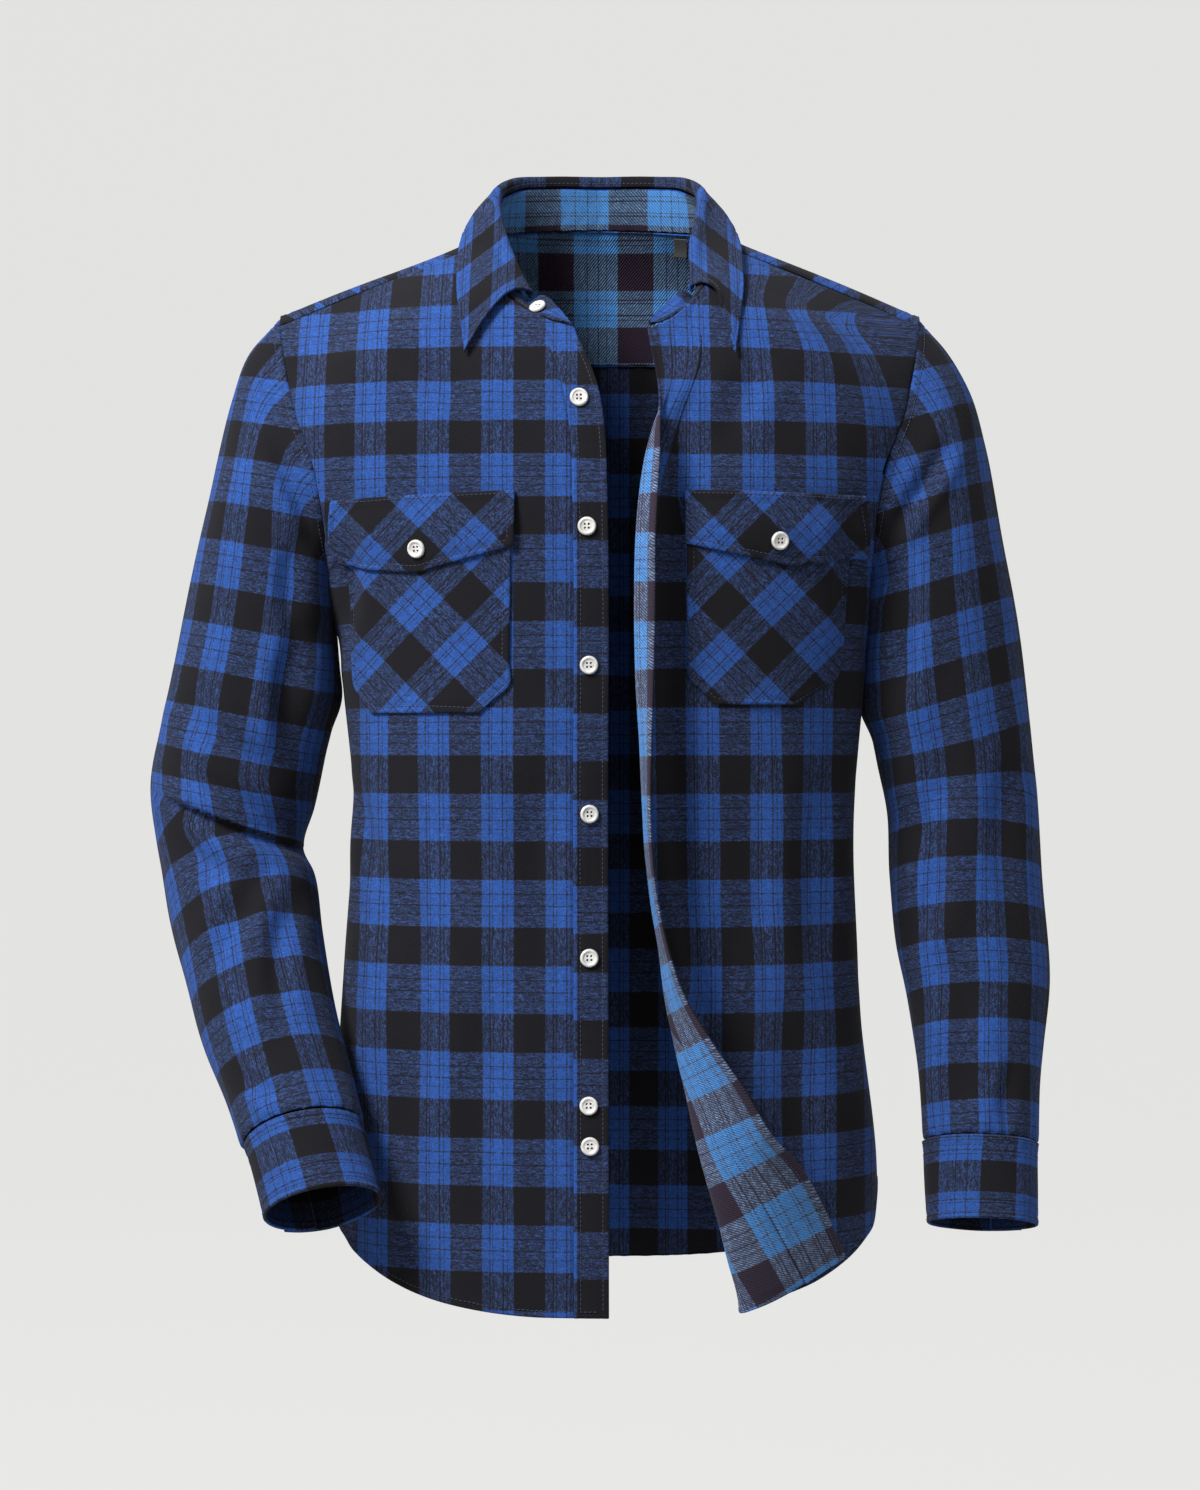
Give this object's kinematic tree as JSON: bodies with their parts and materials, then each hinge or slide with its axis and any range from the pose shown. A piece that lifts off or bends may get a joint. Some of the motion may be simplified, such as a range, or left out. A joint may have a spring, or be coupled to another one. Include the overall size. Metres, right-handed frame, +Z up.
{
  "type": "long-sleeved shirt",
  "caption": "Worn-shape plaid flannel shirt, front open, with collar, cuffed sleeves, flap pockets and buttons.",
  "frame": {"origin": "middle of the base of the wearer's neck, level with the shoulder seams at the neck; the shirt hangs below it", "axes": "+X towards the wearer's left, -Y the way the chest faces, +Z up"},
  "size_m": [0.6259, 0.2815, 0.7933],
  "materials": {
    "flannel": "brushed cotton flannel, blue and black plaid, no gloss",
    "pearl_button": "pearly off-white, soft gloss",
    "label_tape": "plain dark woven tape, bare"
  },
  "bodies": {
    "root": {"back": "flannel", "band_right": "flannel", "button_cuff_left": "pearl_button", "button_cuff_right": "pearl_button", "button_flap_left": "pearl_button", "button_flap_right": "pearl_button", "button_front_1": "pearl_button", "button_front_2": "pearl_button", "button_front_3": "pearl_button", "button_front_4": "pearl_button", "button_front_5": "pearl_button", "button_front_6": "pearl_button", "button_front_7": "pearl_button", "button_stand": "pearl_button", "collar_leaf": "flannel", "collar_stand": "flannel", "cuff_left": "flannel", "cuff_right": "flannel", "flap_left": "flannel", "flap_right": "flannel", "front_left": "flannel", "front_right": "flannel", "neck_label": "label_tape", "placket_left": "flannel", "pocket_left": "flannel", "pocket_right": "flannel", "sleeve_left": "flannel", "sleeve_right": "flannel", "yoke": "flannel"}
  },
  "joints": []
}
